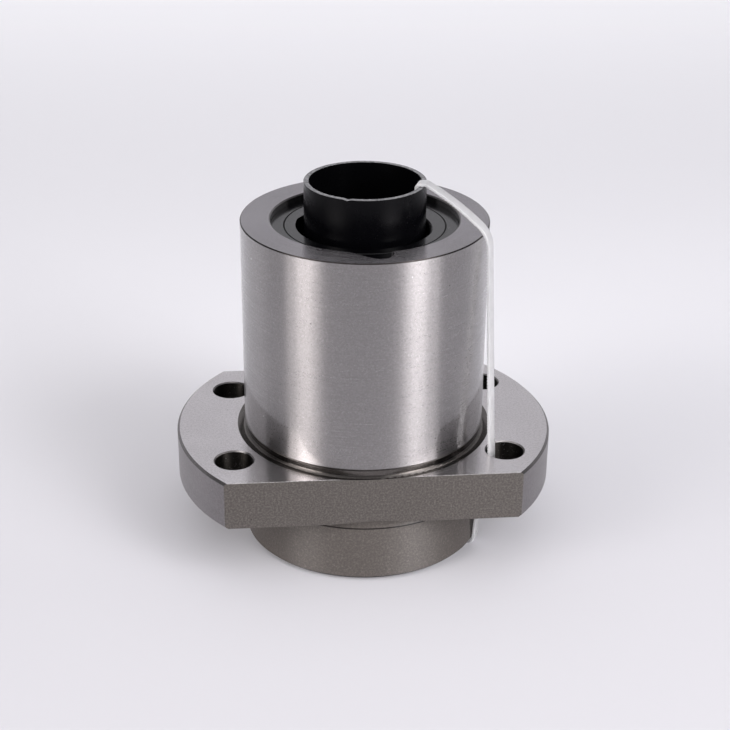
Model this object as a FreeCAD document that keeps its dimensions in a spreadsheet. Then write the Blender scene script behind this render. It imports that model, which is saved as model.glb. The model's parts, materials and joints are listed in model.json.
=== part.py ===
import FreeCAD, Part
import Sketcher
import math
import os

# Flanged ball screw nut on its shipping sleeve, tied with one nylon strap.
# Millimetres and degrees. The screw axis is Z, and the flats of the flange face +Y and -Y.
# The strap runs under the foot of the nut, so the strap's underside is at Z = 0.

doc = FreeCAD.newDocument("ball_screw_nut")
sheet = doc.addObject("Spreadsheet::Sheet", "Sizes")

SIZES = {
    # steel body
    "total_length": 80.4,
    "body_diameter": 58.0,
    "body_chamfer": 0.25,
    "spigot_length": 15.7,
    "spigot_chamfer": 0.6,
    "flange_diameter": 91.0,
    "flange_thickness": 12.0,
    "flange_flats": 59.0,
    "flange_chamfer": 0.55,
    "relief_depth": 0.45,
    "relief_height": 1.95,
    "relief_slope": 0.7,
    "relief_reach": 1.85,
    "relief_sink": 0.5,
    "relief_corner": 0.8,
    "bolt_inset": 0.5,
    "bolt_angle": 30.0,
    "bolt_hole": 9.0,
    "bolt_chamfer": 0.3,
    # seals at both ends
    "seal_bore": 44.0,
    "seal_edge": 0.3,
    "seal_recess": 1.75,
    "seal_thickness": 5.0,
    "seal_gap": 0.1,
    "wiper_diameter": 37.6,
    "screw_diameter": 32.0,
    "wiper_gap": 0.15,
    # ball circuit
    "ball_diameter": 5.556,
    "ball_circle": 34.1,
    "lead": 10.0,
    "circuit_end": 15.0,
    "circuit_drop": 1.0,
    "land_diameter": 34.9,
    "track_radius": 3.0,
    "track_gap": 0.08,
    "ball_spacing": 0.06,
    "return_radius": 23.2,
    "return_azimuth": -87.0,
    "return_gap": 0.12,
    "bend_radius": 5.0,
    "pocket_half_width": 3.1,
    "deflector_gap": 0.1,
    "deflector_bore_gap": 0.25,
    # shipping sleeve
    "sleeve_gap": 0.1,
    "sleeve_wall": 1.2,
    "sleeve_rise": 8.85,
    "sleeve_edge": 0.2,
    "sleeve_foot_gap": 0.15,
    # strap
    "tie_width": 3.2,
    "tie_thickness": 0.75,
    "tie_gap": 0.15,
    "tie_side_gap": 0.26,
    "tie_bend": 1.2,
    "tie_shoulder_bend": 4.0,
    "tie_head_width": 4.4,
    "tie_head_depth": 3.4,
    "tie_head_height": 5.0,
    "tie_head_level": 36.0,
    "tie_head_lap": 0.1,
    # lubrication port in the rear flat
    "port_bore": 5.0,
    "port_depth": 9.0,
    "oil_passage": 3.0,
    "plug_length": 6.0,
    "plug_inset": 0.6,
    "plug_gap": 0.1,
    "plug_socket": 2.5,
    "plug_socket_depth": 2.6,
}

DERIVED = {
    "foot": "tie_thickness + tie_gap",
    "top": "foot + total_length",
    "flange_low": "foot + spigot_length",
    "flange_high": "flange_low + flange_thickness",
    "body_radius": "body_diameter / 2",
    "body_top_radius": "body_radius - body_chamfer",
    "body_top_edge": "top - body_chamfer",
    "spigot_foot_radius": "body_radius - spigot_chamfer",
    "spigot_foot_edge": "foot + spigot_chamfer",
    "flange_radius": "flange_diameter / 2",
    "flange_edge_radius": "flange_radius - flange_chamfer",
    "flange_low_edge": "flange_low + flange_chamfer",
    "flange_high_edge": "flange_high - flange_chamfer",
    "flange_flat": "flange_flats / 2",
    "relief_neck": "body_radius - relief_depth",
    "relief_edge": "body_radius + relief_reach",
    "relief_floor": "relief_neck + relief_corner",
    "relief_start_low": "flange_low - relief_height",
    "relief_neck_low": "relief_start_low + relief_slope",
    "relief_floor_low": "flange_low + relief_sink",
    "relief_corner_low": "relief_floor_low - relief_corner",
    "relief_start_high": "flange_high + relief_height",
    "relief_neck_high": "relief_start_high - relief_slope",
    "relief_floor_high": "flange_high - relief_sink",
    "relief_corner_high": "relief_floor_high + relief_corner",
    "bolt_circle": "(flange_diameter + body_diameter) / 2 - bolt_inset",
    "bolt_x": "bolt_circle / 2 * cos(bolt_angle)",
    "bolt_y": "bolt_circle / 2 * sin(bolt_angle)",
    "bolt_radius": "bolt_hole / 2",
    "seal_radius": "seal_bore / 2",
    "seal_mouth_radius": "seal_radius + seal_edge",
    "seal_mouth_low": "foot + seal_edge",
    "seal_mouth_high": "top - seal_edge",
    "seal_depth": "seal_recess + seal_thickness + seal_gap",
    "seal_floor_low": "foot + seal_depth",
    "seal_floor_high": "top - seal_depth",
    "seal_room_low": "foot",
    "seal_room_high": "seal_floor_high - deflector_gap",
    "seal_face_low": "foot + seal_recess",
    "seal_face_high": "top - seal_recess",
    "seal_back_high": "seal_face_high - seal_thickness",
    "ring_outer": "seal_radius - seal_gap",
    "ring_inner": "wiper_radius + seal_gap",
    "wiper_radius": "wiper_diameter / 2",
    "wiper_land": "screw_diameter / 2 + wiper_gap",
    "wiper_root": "sleeve_radius + sleeve_gap",
    "wiper_ridge": "ball_radius - wiper_gap",
    "land_radius": "land_diameter / 2",
    "ball_radius": "ball_diameter / 2",
    "ball_path": "ball_circle / 2",
    "track_shift": "(track_radius - ball_radius - track_gap) * sqrt(0.5)",
    "track_centre": "ball_path - track_shift",
    "lead_angle": "atan(lead / (pi * ball_circle)) / 1 deg",
    "return_bore": "ball_radius + return_gap",
    "return_swing": "acos(ball_path / return_radius) / 1 deg",
    "turn_reach": "sqrt(return_radius ^ 2 - ball_path ^ 2)",
    "turn_heading": "return_azimuth + 90 - return_swing",
    "return_x": "return_radius * cos(return_azimuth)",
    "return_y": "return_radius * sin(return_azimuth)",
    "circuit_turns": "floor((total_length - 2 * circuit_end) / lead)",
    "middle": "foot + total_length / 2 - circuit_drop",
    "loaded_turns": "circuit_turns - return_swing / 180",
    "pick_high": "middle + lead * loaded_turns / 2",
    "pick_low": "middle - lead * loaded_turns / 2",
    "bend_start": "bend_radius * (1 + sin(lead_angle))",
    "bend_rise": "(turn_reach - bend_start) * tan(lead_angle)",
    "bend_centre": "bend_rise - bend_radius * cos(lead_angle)",
    "bend_sweep": "90 + lead_angle",
    "run_length": "(turn_reach - bend_start) / cos(lead_angle)",
    "return_length": "2 * (pick_high + bend_centre - middle)",
    "pocket_back": "turn_reach - pocket_half_width",
    "pocket_height_high": "top - pick_high",
    "pocket_height_low": "pick_low - foot",
    "deflector_half_width": "pocket_half_width - deflector_gap",
    "deflector_height_high": "seal_face_high - pick_high - deflector_gap",
    "deflector_height_low": "pick_low - seal_face_low - deflector_gap",
    "deflector_bore": "screw_diameter / 2 + deflector_bore_gap",
    "deflector_shoulder": "seal_radius + deflector_gap",
    "track_start": "seal_floor_low - track_radius",
    "track_height": "seal_floor_high + track_radius - track_start",
    "track_turn": "return_azimuth + 180 * circuit_turns + 360 * (track_start - middle) / lead",
    "ridge_height": "seal_thickness + 2 * ball_radius",
    "ridge_start_low": "seal_face_low - ball_radius",
    "ridge_turn_low": "return_azimuth + 180 * circuit_turns + 360 * (ridge_start_low - middle) / lead",
    "ridge_start_high": "seal_back_high - ball_radius",
    "ridge_turn_high": "return_azimuth + 180 * circuit_turns + 360 * (ridge_start_high - middle) / lead",
    "sleeve_radius": "ball_path - ball_radius - sleeve_gap",
    "sleeve_bore": "sleeve_radius - sleeve_wall",
    "sleeve_foot": "foot + sleeve_foot_gap",
    "sleeve_top": "top + sleeve_rise",
    "sleeve_foot_edge": "sleeve_foot + sleeve_edge",
    "sleeve_top_edge": "sleeve_top - sleeve_edge",
    "sleeve_rim_inner": "sleeve_bore + sleeve_edge",
    "sleeve_rim_outer": "sleeve_radius - sleeve_edge",
    "tie_run": "sleeve_bore - tie_thickness / 2 - tie_side_gap",
    "port_level": "flange_low + flange_thickness / 2",
    "port_floor": "flange_flat - port_depth",
    "plug_radius": "port_bore / 2 - plug_gap",
    "plug_face": "flange_flat - plug_inset",
    "plug_socket_radius": "plug_socket / sqrt(3)",
}


def fill_sheet():
    row = 0
    for name, number in SIZES.items():
        row += 1
        sheet.set(f"A{row}", name)
        sheet.set(f"B{row}", repr(number))
        sheet.setAlias(f"B{row}", name)
    for name in DERIVED:
        row += 1
        sheet.set(f"A{row}", name)
        sheet.setAlias(f"B{row}", name)
    row = len(SIZES)
    for formula in DERIVED.values():
        row += 1
        sheet.set(f"B{row}", "=" + formula)
    doc.recompute()


def value(name):
    return float(getattr(sheet, name))


def bind(thing, prop, formula):
    """Ties one property to the sheet. Names of sizes in the formula stand after Sizes."""
    thing.setExpression(prop, formula)


def origin(body, role):
    return next(f for f in body.Origin.OriginFeatures if f.Role == role)


def new_body(name):
    return doc.addObject("PartDesign::Body", name)


def new_sketch(body, name, role):
    sketch = body.newObject("Sketcher::SketchObject", name)
    sketch.AttachmentSupport = [(origin(body, role), "")]
    sketch.MapMode = "FlatFace"
    return sketch


def fix(sketch, kind, geo, pos, formula, number):
    """Sets how far one point of a sketch lies from its origin, as a formula of the sheet."""
    at = sketch.addConstraint(Sketcher.Constraint(kind, -1, 1, geo, pos, number))
    name = f"size_{at}"
    sketch.renameConstraint(at, name)
    bind(sketch, f"Constraints.{name}", formula)


def polygon(sketch, corners):
    """Closed outline through corners given as pairs of sheet names, each with its sign.

    A corner with two more names starts a clockwise arc about that centre instead of a straight side.
    """
    points = [FreeCAD.Vector(signed(corner[0]), signed(corner[1]), 0) for corner in corners]
    first = sketch.GeometryCount
    count = len(points)
    ends = []
    for i, corner in enumerate(corners):
        start = points[i]
        end = points[(i + 1) % count]
        if len(corner) == 2:
            sketch.addGeometry(Part.LineSegment(start, end), False)
            ends.append((1, 2))
        else:
            centre = FreeCAD.Vector(signed(corner[2]), signed(corner[3]), 0)
            sketch.addGeometry(clockwise_arc(centre, start, end), False)
            ends.append((2, 1))
            fix(sketch, "DistanceX", first + i, 3, formula_of(corner[2]), centre.x)
    for i, corner in enumerate(corners):
        follower = (i + 1) % count
        meet = Sketcher.Constraint("Coincident", first + i, ends[i][1], first + follower, ends[follower][0])
        sketch.addConstraint(meet)
        fix(sketch, "DistanceX", first + i, ends[i][0], formula_of(corner[0]), points[i].x)
        fix(sketch, "DistanceY", first + i, ends[i][0], formula_of(corner[1]), points[i].y)


def clockwise_arc(centre, start, end):
    """Arc about a centre. It runs the other way round, so it begins at the given end."""
    ring = Part.Circle(centre, FreeCAD.Vector(0, 0, 1), (start - centre).Length)
    from_angle = math.atan2(end.y - centre.y, end.x - centre.x)
    to_angle = math.atan2(start.y - centre.y, start.x - centre.x)
    if to_angle < from_angle:
        to_angle += 2 * math.pi
    return Part.ArcOfCircle(ring, from_angle, to_angle)


def signed(name):
    return -value(name[1:]) if name.startswith("-") else value(name)


def formula_of(name):
    return f"-Sizes.{name[1:]}" if name.startswith("-") else f"Sizes.{name}"


def circle(sketch, across, along, radius):
    centre = FreeCAD.Vector(signed(across), signed(along), 0)
    geo = sketch.addGeometry(Part.Circle(centre, FreeCAD.Vector(0, 0, 1), value(radius)), False)
    fix(sketch, "DistanceX", geo, 3, formula_of(across), centre.x)
    fix(sketch, "DistanceY", geo, 3, formula_of(along), centre.y)
    at = sketch.addConstraint(Sketcher.Constraint("Radius", geo, value(radius)))
    sketch.renameConstraint(at, f"size_{at}")
    bind(sketch, f"Constraints.size_{at}", f"Sizes.{radius}")


def revolve(body, kind, name, sketch):
    feature = body.newObject(kind, name)
    feature.Profile = sketch
    feature.ReferenceAxis = (origin(body, "Z_Axis"), [""])
    feature.Angle = 360
    sketch.Visibility = False
    doc.recompute()
    return feature


def cut_through(body, name, sketch):
    """Pocket upward from the sketch through everything, and a stop if it removes nothing."""
    before = body.Shape.Volume
    feature = body.newObject("PartDesign::Pocket", name)
    feature.Profile = sketch
    feature.Type = "ThroughAll"
    feature.Reversed = True
    doc.recompute()
    if body.Shape.Volume >= before - 1:
        raise RuntimeError(f"{name} removes nothing")
    return feature


def primitive(kind, name, sizes, place):
    """One solid primitive with its sizes and its placement tied to the sheet."""
    solid = doc.addObject(kind, name)
    for prop, formula in sizes.items():
        bind(solid, prop, formula)
    bind(solid, "Placement", place)
    return solid


def fuse(name, shapes):
    joined = doc.addObject("Part::MultiFuse", name)
    joined.Shapes = shapes
    return joined


def cut(name, base, tool):
    result = doc.addObject("Part::Cut", name)
    result.Base = base
    result.Tool = tool
    return result


def node(solid, name):
    solid.Label = name
    return solid


UPRIGHT = "rotation(vector(0; 0; 1); 0)"


def at_height(name):
    return f"placement(vector(0; 0; Sizes.{name}); {UPRIGHT})"


def nut_blank():
    """Turned body with flange, spigot, corner reliefs and seal bores, then flats and bolt holes."""
    body = new_body("nut_blank")
    section = new_sketch(body, "nut_section", "XZ_Plane")
    polygon(section, [
        ("seal_mouth_radius", "foot"),
        ("spigot_foot_radius", "foot"),
        ("body_radius", "spigot_foot_edge"),
        ("body_radius", "relief_start_low"),
        ("relief_neck", "relief_neck_low"),
        ("relief_neck", "relief_corner_low", "relief_floor", "relief_corner_low"),
        ("relief_floor", "relief_floor_low"),
        ("relief_edge", "flange_low"),
        ("flange_edge_radius", "flange_low"),
        ("flange_radius", "flange_low_edge"),
        ("flange_radius", "flange_high_edge"),
        ("flange_edge_radius", "flange_high"),
        ("relief_edge", "flange_high"),
        ("relief_floor", "relief_floor_high", "relief_floor", "relief_corner_high"),
        ("relief_neck", "relief_corner_high"),
        ("relief_neck", "relief_neck_high"),
        ("body_radius", "relief_start_high"),
        ("body_radius", "body_top_edge"),
        ("body_top_radius", "top"),
        ("seal_mouth_radius", "top"),
        ("seal_radius", "seal_mouth_high"),
        ("seal_radius", "seal_floor_high"),
        ("land_radius", "seal_floor_high"),
        ("land_radius", "seal_floor_low"),
        ("seal_radius", "seal_floor_low"),
        ("seal_radius", "seal_mouth_low"),
    ])
    revolve(body, "PartDesign::Revolution", "turned_form", section)

    flats = new_sketch(body, "flat_sides", "XY_Plane")
    polygon(flats, [
        ("-flange_radius", "flange_flat"),
        ("flange_radius", "flange_flat"),
        ("flange_radius", "flange_radius"),
        ("-flange_radius", "flange_radius"),
    ])
    polygon(flats, [
        ("-flange_radius", "-flange_radius"),
        ("flange_radius", "-flange_radius"),
        ("flange_radius", "-flange_flat"),
        ("-flange_radius", "-flange_flat"),
    ])
    cut_through(body, "milled_flats", flats)

    holes = new_sketch(body, "bolt_holes", "XY_Plane")
    for across in ("bolt_x", "-bolt_x"):
        for along in ("bolt_y", "-bolt_y"):
            circle(holes, across, along, "bolt_radius")
    cut_through(body, "drilled_holes", holes)
    return body


def hole_mouths():
    """Short cones that break the edges of the bolt holes on both faces of the flange."""
    narrow = "Sizes.bolt_radius"
    wide = "Sizes.bolt_radius + Sizes.bolt_chamfer"
    faces = [
        (narrow, wide, "Sizes.flange_high - Sizes.bolt_chamfer"),
        (wide, narrow, "Sizes.flange_low"),
    ]
    cones = []
    for across in ("Sizes.bolt_x", "-Sizes.bolt_x"):
        for along in ("Sizes.bolt_y", "-Sizes.bolt_y"):
            for below, above, level in faces:
                sizes = {"Radius1": below, "Radius2": above, "Height": "Sizes.bolt_chamfer"}
                place = f"placement(vector({across}; {along}; {level}); {UPRIGHT})"
                cones.append(primitive("Part::Cone", f"hole_mouth_{len(cones)}", sizes, place))
    return cones


def helix_form(name, draw, height, start, turn):
    """Solid swept along a right-hand helix of the screw's lead, turned and lifted to its start."""
    body = new_body(name)
    section = new_sketch(body, name + "_section", "XZ_Plane")
    draw(section)
    doc.recompute()
    sweep = body.newObject("PartDesign::AdditiveHelix", name + "_sweep")
    sweep.Profile = section
    sweep.ReferenceAxis = (section, ["V_Axis"])
    sweep.Mode = 0
    bind(sweep, "Pitch", "Sizes.lead")
    bind(sweep, "Height", f"Sizes.{height}")
    sweep.Angle = 0
    sweep.LeftHanded = False
    sweep.Reversed = False
    lift = f"vector(0; 0; Sizes.{start})"
    bind(body, "Placement", f"placement({lift}; rotation(vector(0; 0; 1); Sizes.{turn}))")
    section.Visibility = False
    doc.recompute()
    return body


def draw_track(section):
    """Gothic arch: two arcs whose centres lie a little apart, closed by a line inside the bore."""
    radius = value("track_radius")
    shift = value("track_shift")
    centre = value("track_centre")
    lean = math.asin(shift / radius)
    normal = FreeCAD.Vector(0, 0, 1)
    upper = Part.Circle(FreeCAD.Vector(centre, -shift, 0), normal, radius)
    lower = Part.Circle(FreeCAD.Vector(centre, shift, 0), normal, radius)
    up = section.addGeometry(Part.ArcOfCircle(upper, lean, math.pi / 2), False)
    down = section.addGeometry(Part.ArcOfCircle(lower, -math.pi / 2, -lean), False)
    high = FreeCAD.Vector(centre, radius - shift, 0)
    low = FreeCAD.Vector(centre, shift - radius, 0)
    close = section.addGeometry(Part.LineSegment(high, low), False)
    section.addConstraint(Sketcher.Constraint("Coincident", up, 1, down, 2))
    section.addConstraint(Sketcher.Constraint("Coincident", up, 2, close, 1))
    section.addConstraint(Sketcher.Constraint("Coincident", down, 1, close, 2))
    section.addConstraint(Sketcher.Constraint("Vertical", close))
    for geo, sign, number in ((up, "-", -shift), (down, "", shift)):
        fix(section, "DistanceX", geo, 3, "Sizes.track_centre", centre)
        fix(section, "DistanceY", geo, 3, f"{sign}Sizes.track_shift", number)
        at = section.addConstraint(Sketcher.Constraint("Radius", geo, radius))
        section.renameConstraint(at, f"size_{at}")
        bind(section, f"Constraints.size_{at}", "Sizes.track_radius")
    fix(section, "DistanceX", close, 1, "Sizes.track_centre", centre)


def draw_ridge(section):
    """Round rib of the wiper, which fills the groove of the screw."""
    radius = value("wiper_ridge")
    centre = FreeCAD.Vector(value("ball_path"), 0, 0)
    geo = section.addGeometry(Part.Circle(centre, FreeCAD.Vector(0, 0, 1), radius), False)
    fix(section, "DistanceX", geo, 3, "Sizes.ball_path", centre.x)
    section.addConstraint(Sketcher.Constraint("PointOnObject", geo, 3, -1))
    at = section.addConstraint(Sketcher.Constraint("Radius", geo, radius))
    section.renameConstraint(at, f"size_{at}")
    bind(section, f"Constraints.size_{at}", "Sizes.wiper_ridge")


# Local frame of the upper ball turn: its origin is on the return bore's axis at the height where
# the balls leave the track, and its X axis is the way they leave. The lower turn is the same one
# swung half a turn about the radius through the return bore.
TURN_HIGH = (
    "placement(vector(Sizes.return_x; Sizes.return_y; Sizes.pick_high);"
    " rotation(vector(0; 0; 1); Sizes.turn_heading))"
)
SWING = (
    "placement(vector(0; 0; 2 * Sizes.middle);"
    " rotation(vector(Sizes.return_x; Sizes.return_y; 0); 180))"
)
TURNS = {"high": TURN_HIGH, "low": f"{SWING} * {TURN_HIGH}"}


def local(end, across, side, up, turn=UPRIGHT):
    return f"{TURNS[end]} * placement(vector({across}; {side}; {up}); {turn})"


def slot_form(name, end, half_width, height, lift="0"):
    """Upright slot with round ends, over the ball path from the track to the return bore."""
    round_sizes = {"Radius": f"Sizes.{half_width}", "Height": f"Sizes.{height}"}
    middle = primitive(
        "Part::Box",
        f"{name}_middle_{end}",
        {
            "Length": "Sizes.pocket_back",
            "Width": f"2 * Sizes.{half_width}",
            "Height": f"Sizes.{height}",
        },
        local(end, "-Sizes.pocket_back", f"-Sizes.{half_width}", lift),
    )
    ends = []
    for side, across in (("outer", "0"), ("inner", "-Sizes.pocket_back")):
        place = local(end, across, "0", lift)
        ends.append(primitive("Part::Cylinder", f"{name}_{side}_{end}", round_sizes, place))
    return fuse(f"{name}_{end}", [middle] + ends)


def ball_way(end):
    """Round way of the balls: straight off the track, then a bend down into the return bore."""
    run = primitive(
        "Part::Cylinder",
        f"run_{end}",
        {"Radius": "Sizes.return_bore", "Height": "Sizes.run_length + Sizes.ball_radius"},
        local(
            end,
            "-Sizes.turn_reach - Sizes.ball_radius * cos(Sizes.lead_angle)",
            "0",
            "-Sizes.ball_radius * sin(Sizes.lead_angle)",
            "rotation(vector(0; 1; 0); 90 - Sizes.lead_angle)",
        ),
    )
    bend = primitive(
        "Part::Torus",
        f"bend_{end}",
        {
            "Radius1": "Sizes.bend_radius",
            "Radius2": "Sizes.return_bore",
            "Angle3": "Sizes.bend_sweep",
        },
        local(end, "-Sizes.bend_radius", "0", "Sizes.bend_centre", "rotation(vector(1; 0; 0); 90)"),
    )
    return fuse(f"ball_way_{end}", [run, bend])


def nut_body(ways):
    """Steel nut: the blank less the ball track, the deflector pockets, the return bore and the port."""
    return_form = primitive(
        "Part::Cylinder",
        "return_form",
        {"Radius": "Sizes.return_bore", "Height": "Sizes.return_length"},
        "placement(vector(Sizes.return_x; Sizes.return_y; Sizes.middle - Sizes.return_length / 2);"
        f" {UPRIGHT})",
    )
    pockets = [
        slot_form("pocket", "high", "pocket_half_width", "pocket_height_high"),
        slot_form("pocket", "low", "pocket_half_width", "pocket_height_low"),
    ]
    inward = "rotation(vector(1; 0; 0); 90)"
    port = primitive(
        "Part::Cylinder",
        "port_form",
        {"Radius": "Sizes.port_bore / 2", "Height": "Sizes.port_depth"},
        f"placement(vector(0; Sizes.flange_flat; Sizes.port_level); {inward})",
    )
    passage = primitive(
        "Part::Cylinder",
        "passage_form",
        {"Radius": "Sizes.oil_passage / 2", "Height": "Sizes.port_floor - Sizes.ball_path"},
        f"placement(vector(0; Sizes.port_floor; Sizes.port_level); {inward})",
    )
    inside = fuse("inner_forms", pockets + list(ways.values()) + [return_form, port, passage])
    drilled = cut("drilled_nut", nut_blank(), fuse("hole_mouths", hole_mouths()))
    pocketed = cut("pocketed_nut", drilled, inside)
    track = helix_form("track_form", draw_track, "track_height", "track_start", "track_turn")
    return node(cut("nut_body", pocketed, track), "nut_body")


def deflector(end, way):
    """Plug in the pocket, with the upper half of the ball way in its underside."""
    height = f"deflector_height_{end}"
    plug = slot_form("plug", end, "deflector_half_width", height, "Sizes.deflector_gap")
    seal_room = primitive(
        "Part::Cylinder",
        f"seal_room_{end}",
        {"Radius": "Sizes.deflector_shoulder", "Height": "Sizes.seal_depth + Sizes.deflector_gap"},
        at_height(f"seal_room_{end}"),
    )
    screw_room = primitive(
        "Part::Cylinder",
        f"screw_room_{end}",
        {"Radius": "Sizes.deflector_bore", "Height": "Sizes.total_length"},
        at_height("foot"),
    )
    rooms = fuse(f"rooms_{end}", [seal_room, screw_room, way])
    name = {"high": "end_deflector_top", "low": "end_deflector_bottom"}[end]
    return node(cut(name, plug, rooms), name)


def wiper_ring(end, name):
    """Ring that holds the wiper in the seal bore."""
    level = "seal_back_high" if end == "high" else "seal_face_low"
    solids = []
    for edge in ("ring_outer", "ring_inner"):
        sizes = {"Radius": f"Sizes.{edge}", "Height": "Sizes.seal_thickness"}
        solids.append(primitive("Part::Cylinder", f"{edge}_{end}", sizes, at_height(level)))
    return node(cut(name, *solids), name)


def wiper(end, name):
    """Disc round the screw's crest with one rib that lies in the screw's groove."""
    level = "seal_back_high" if end == "high" else "seal_face_low"
    height = {"Height": "Sizes.seal_thickness"}
    disc = primitive(
        "Part::Cylinder", f"disc_{end}", {"Radius": "Sizes.wiper_radius", **height}, at_height(level)
    )
    crest = primitive(
        "Part::Cylinder", f"crest_{end}", {"Radius": "Sizes.wiper_land", **height}, at_height(level)
    )
    rind = primitive(
        "Part::Cylinder", f"rind_{end}", {"Radius": "Sizes.wiper_radius", **height}, at_height(level)
    )
    root = primitive(
        "Part::Cylinder", f"root_{end}", {"Radius": "Sizes.wiper_root", **height}, at_height(level)
    )
    rib = helix_form(f"rib_{end}", draw_ridge, "ridge_height", f"ridge_start_{end}", f"ridge_turn_{end}")
    outer = cut(f"wiper_outer_{end}", disc, crest)
    room = cut(f"wiper_room_{end}", rind, root)
    rib_inside = doc.addObject("Part::Common", f"rib_inside_{end}")
    rib_inside.Base = room
    rib_inside.Tool = rib
    return node(fuse(name, [outer, rib_inside]), name)


def sleeve():
    """Plain tube that keeps the balls in the nut until it goes on a screw."""
    body = new_body("arbor_sleeve")
    section = new_sketch(body, "sleeve_section", "XZ_Plane")
    polygon(section, [
        ("sleeve_rim_inner", "sleeve_foot"),
        ("sleeve_rim_outer", "sleeve_foot"),
        ("sleeve_radius", "sleeve_foot_edge"),
        ("sleeve_radius", "sleeve_top_edge"),
        ("sleeve_rim_outer", "sleeve_top"),
        ("sleeve_rim_inner", "sleeve_top"),
        ("sleeve_bore", "sleeve_top_edge"),
        ("sleeve_bore", "sleeve_foot_edge"),
    ])
    revolve(body, "PartDesign::Revolution", "sleeve_form", section)
    return node(body, "arbor_sleeve")


def plug_screw():
    """Headless screw with a hexagon socket in the lubrication port."""
    outward = "rotation(vector(1; 0; 0); 90)"
    shank = primitive(
        "Part::Cylinder",
        "plug_shank",
        {"Radius": "Sizes.plug_radius", "Height": "Sizes.plug_length"},
        f"placement(vector(0; Sizes.plug_face; Sizes.port_level); {outward})",
    )
    socket = primitive(
        "Part::Prism",
        "plug_socket",
        {"Circumradius": "Sizes.plug_socket_radius", "Height": "Sizes.plug_socket_depth"},
        f"placement(vector(0; Sizes.plug_face; Sizes.port_level); {outward})",
    )
    socket.Polygon = 6
    return node(cut("grease_plug", shank, socket), "grease_plug")


def circuit_point(path, s):
    """Point of the closed ball circuit at the length s from the lower end of the loaded track."""
    rest = s
    for length, point in path:
        if rest <= length:
            return point(rest)
        rest -= length
    return path[0][1](0)


def ball_circuit():
    """Loaded helix, upper turn, return bore and lower turn, each as its length and a function."""
    ring = value("ball_path")
    lead = value("lead")
    turns = value("loaded_turns")
    slope = math.radians(value("lead_angle"))
    helix_length = turns * 2 * math.pi * ring / math.cos(slope)
    start = math.radians(value("return_azimuth") + value("return_swing"))

    def on_helix(s):
        angle = s * math.cos(slope) / ring
        up = value("pick_low") + lead * angle / (2 * math.pi)
        return FreeCAD.Vector(ring * math.cos(start + angle), ring * math.sin(start + angle), up)

    frame = FreeCAD.Placement(
        FreeCAD.Vector(value("return_x"), value("return_y"), value("pick_high")),
        FreeCAD.Rotation(FreeCAD.Vector(0, 0, 1), value("turn_heading")),
    )
    swing = FreeCAD.Placement(
        FreeCAD.Vector(0, 0, 2 * value("middle")),
        FreeCAD.Rotation(FreeCAD.Vector(value("return_x"), value("return_y"), 0), 180),
    )
    bend = value("bend_radius")
    sweep = math.radians(value("bend_sweep"))
    run = value("run_length")

    def on_turn(s):
        if s < run:
            x = -value("turn_reach") + s * math.cos(slope)
            return frame.multVec(FreeCAD.Vector(x, 0, s * math.sin(slope)))
        angle = sweep - (s - run) / bend
        x = -bend + bend * math.cos(angle)
        return frame.multVec(FreeCAD.Vector(x, 0, value("bend_centre") + bend * math.sin(angle)))

    turn_length = run + bend * sweep
    high = value("pick_high") + value("bend_centre")
    return_length = value("return_length")
    return [
        (helix_length, on_helix),
        (turn_length, on_turn),
        (return_length, lambda s: FreeCAD.Vector(value("return_x"), value("return_y"), high - s)),
        (turn_length, lambda s: swing.multVec(on_turn(turn_length - s))),
    ]


def balls():
    """Fills the circuit with balls, one after the other, each at a small gap from the last."""
    path = ball_circuit()
    total = sum(length for length, point in path)
    loaded_length = path[0][0]
    pitch = value("ball_diameter") + value("ball_spacing")
    first = circuit_point(path, 0.0)
    placed = [(0.0, first)]
    while True:
        s, last = placed[-1]
        low = s
        high = s + 2 * pitch
        for step in range(40):
            middle = (low + high) / 2
            if (circuit_point(path, min(middle, total)) - last).Length < pitch:
                low = middle
            else:
                high = middle
        point = circuit_point(path, min(high, total))
        if high >= total or (point - first).Length < pitch and high > total / 2:
            break
        placed.append((high, point))
    groups = {"loaded_balls": [], "return_balls": []}
    for i, (s, point) in enumerate(placed):
        ball = doc.addObject("Part::Sphere", f"ball_{i}")
        bind(ball, "Radius", "Sizes.ball_radius")
        ball.Placement.Base = point
        groups["loaded_balls" if s <= loaded_length else "return_balls"].append(ball)
    nodes = []
    for name, members in groups.items():
        group = doc.addObject("Part::Compound", name)
        group.Links = members
        nodes.append(node(group, name))
    return nodes


# Route of the strap: the azimuth at each place that it passes, in degrees. A free point above the
# flange lies inward of the hole's middle by a share of the hole's radius, and up by a share of the
# flange's thickness. One below lies a share of the way in from the hole's middle to the strap's
# place at the foot, and a share of the spigot's length down.
BORE_AZIMUTH = -18.0
RIM_AZIMUTH = -18.5
SHOULDER_AZIMUTH = -26.5
HOLE_AZIMUTH = -33.0
FOOT_AZIMUTH = -25.5
SHOULDER_END = 4.0
TIE_SLACK = 0.04
FREE_POINTS_ABOVE = [(0.71, 0.5, -31.5), (0.53, 0.0, HOLE_AZIMUTH)]
FREE_POINTS_BELOW = [(0.32, 0.0, -32.4), (0.59, 0.25, -30.8), (0.88, 0.53, -28.0)]


def round_corner(corner, start, end, steps, offset, azimuth):
    """Stations of the strap about a corner in the R-Z plane, from one angle to another."""
    stations = []
    for i in range(steps + 1):
        angle = math.radians(start + (end - start) * i / steps)
        r = corner[0] + offset * math.cos(angle)
        z = corner[1] + offset * math.sin(angle)
        stations.append((r, z, azimuth))
    return stations


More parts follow.
